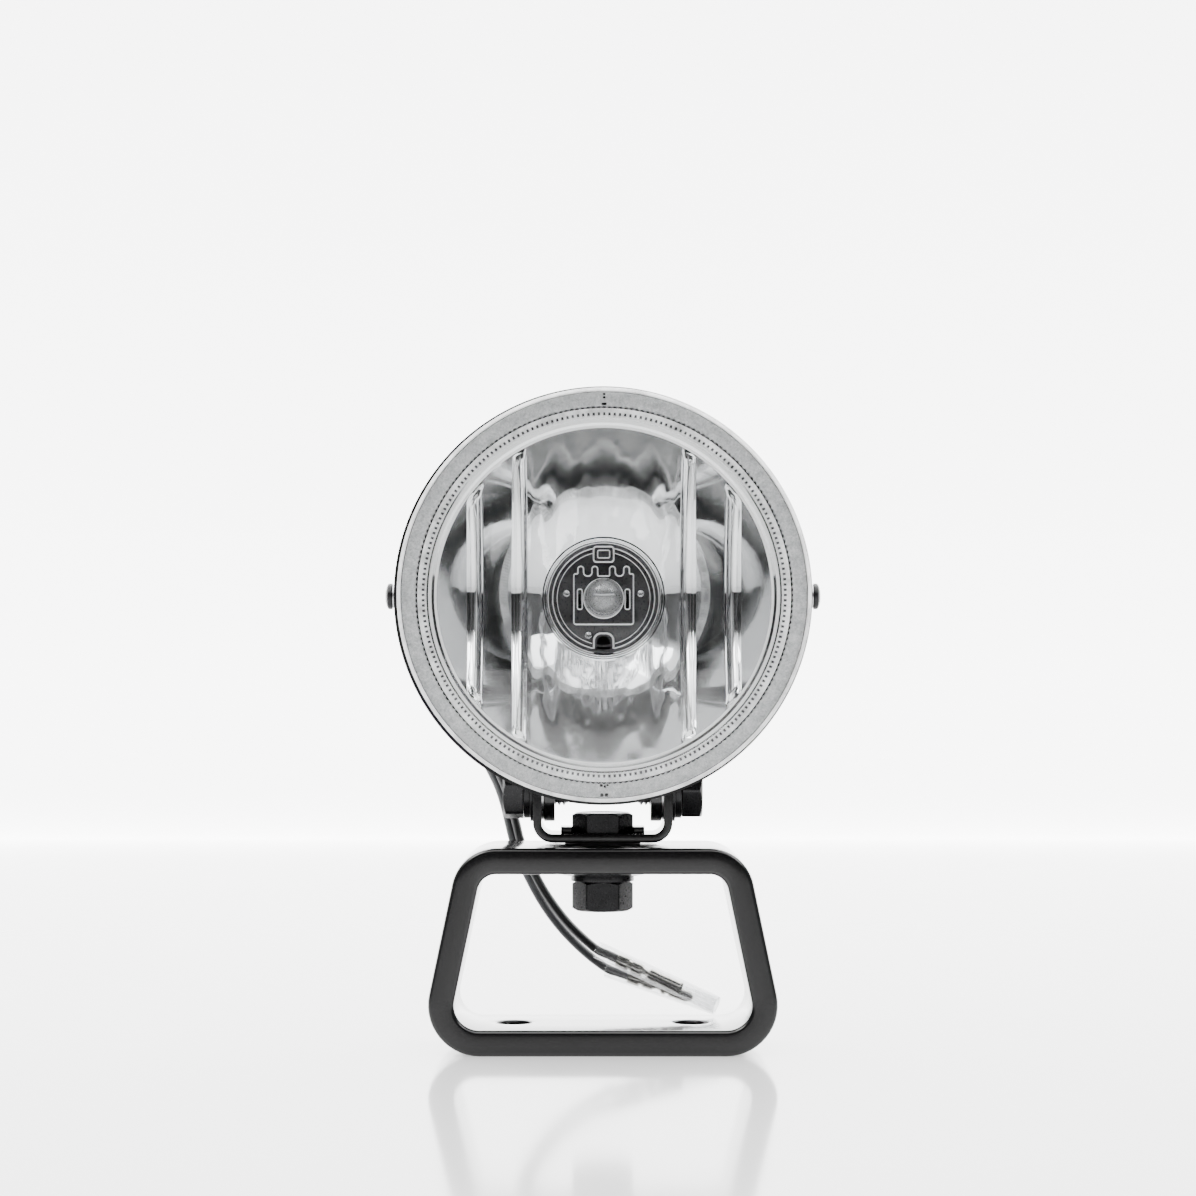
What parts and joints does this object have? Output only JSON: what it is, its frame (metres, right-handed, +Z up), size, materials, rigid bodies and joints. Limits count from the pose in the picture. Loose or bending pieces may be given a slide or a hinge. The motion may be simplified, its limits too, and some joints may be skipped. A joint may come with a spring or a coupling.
{
  "type": "fog light",
  "caption": "Round fog light with a ribbed reflector behind clear glass, tilting and swivelling on a U bracket bolted to a loop-shaped stand, with two short leads.",
  "frame": {"origin": "middle of the stand's underside, on the surface that it stands on", "axes": "+Z up; -Y is the way that the lamp shines; +X is to the right of someone who looks at the glass"},
  "size_m": [0.1342, 0.0772, 0.2067],
  "materials": {
    "black_paint": "gloss black powder coat",
    "bracket_paint": "satin black coating",
    "black_zinc": "black zinc plated steel",
    "housing_black": "satin black",
    "bright_steel": "plain zinc plated steel",
    "friction_pad": "matt black",
    "rubber": "matt black",
    "lens_glass": "clear moulded glass",
    "bulb_glass": "clear quartz glass",
    "bond": "light grey sealant, faintly mottled",
    "reflector_chrome": "vacuum-metallised, mirror bright",
    "holder_black": "gloss black",
    "clip_steel": "dark spring steel",
    "tungsten": "drawn wire",
    "nylon": "natural nylon",
    "tinned_brass": "tin plated",
    "black_pvc": "soft gloss insulation",
    "grey_pvc": "soft gloss insulation",
    "clear_pvc": "clear soft sleeve"
  },
  "bodies": {
    "base": {"stand": "black_paint", "swivel_pad": "friction_pad"},
    "yoke": {"yoke": "bracket_paint", "swivel_bolt": "black_zinc", "swivel_washer": "black_zinc", "swivel_nut": "black_zinc", "lead_black": "black_pvc", "lead_grey": "grey_pvc", "socket_terminal": "tinned_brass", "bullet_terminal": "tinned_brass", "socket_sleeve": "clear_pvc", "bullet_sleeve": "clear_pvc"},
    "lamp": {"saddle": "bracket_paint", "pivot_bolts": "black_zinc", "pivot_spring_washers": "black_zinc", "pivot_flat_washers": "black_zinc", "pivot_discs": "bright_steel", "housing": "housing_black", "side_screws": "black_zinc", "side_collars": "bright_steel", "nut_clips": "bright_steel", "rim_gasket": "rubber", "front_glass": "lens_glass", "bonding_ring": "bond", "reflector": "reflector_chrome", "bulb_holder": "holder_black", "holder_ring": "reflector_chrome", "holder_rivets": "clip_steel", "bulb_clip": "clip_steel", "bulb_base": "bright_steel", "bulb_blade": "bright_steel", "bulb_glass": "bulb_glass", "filament_posts": "tungsten", "filament": "tungsten", "feed_connector": "nylon", "feed_pigtail": "grey_pvc", "earth_ring": "tinned_brass", "earth_pigtail": "black_pvc", "grommet": "rubber", "breather": "rubber"}
  },
  "joints": [
    {"name": "swivel", "type": "hinge", "parent": "base", "child": "yoke", "pos_m": [0, 0, 0.0657], "axis": [0, 0, 1], "range_deg": [-20, 20]},
    {"name": "tilt", "type": "hinge", "parent": "yoke", "child": "lamp", "pos_m": [0, 0, 0.082], "axis": [1, 0, 0], "range_deg": [-30, 15], "deforming": ["lead_black", "lead_grey"]}
  ]
}
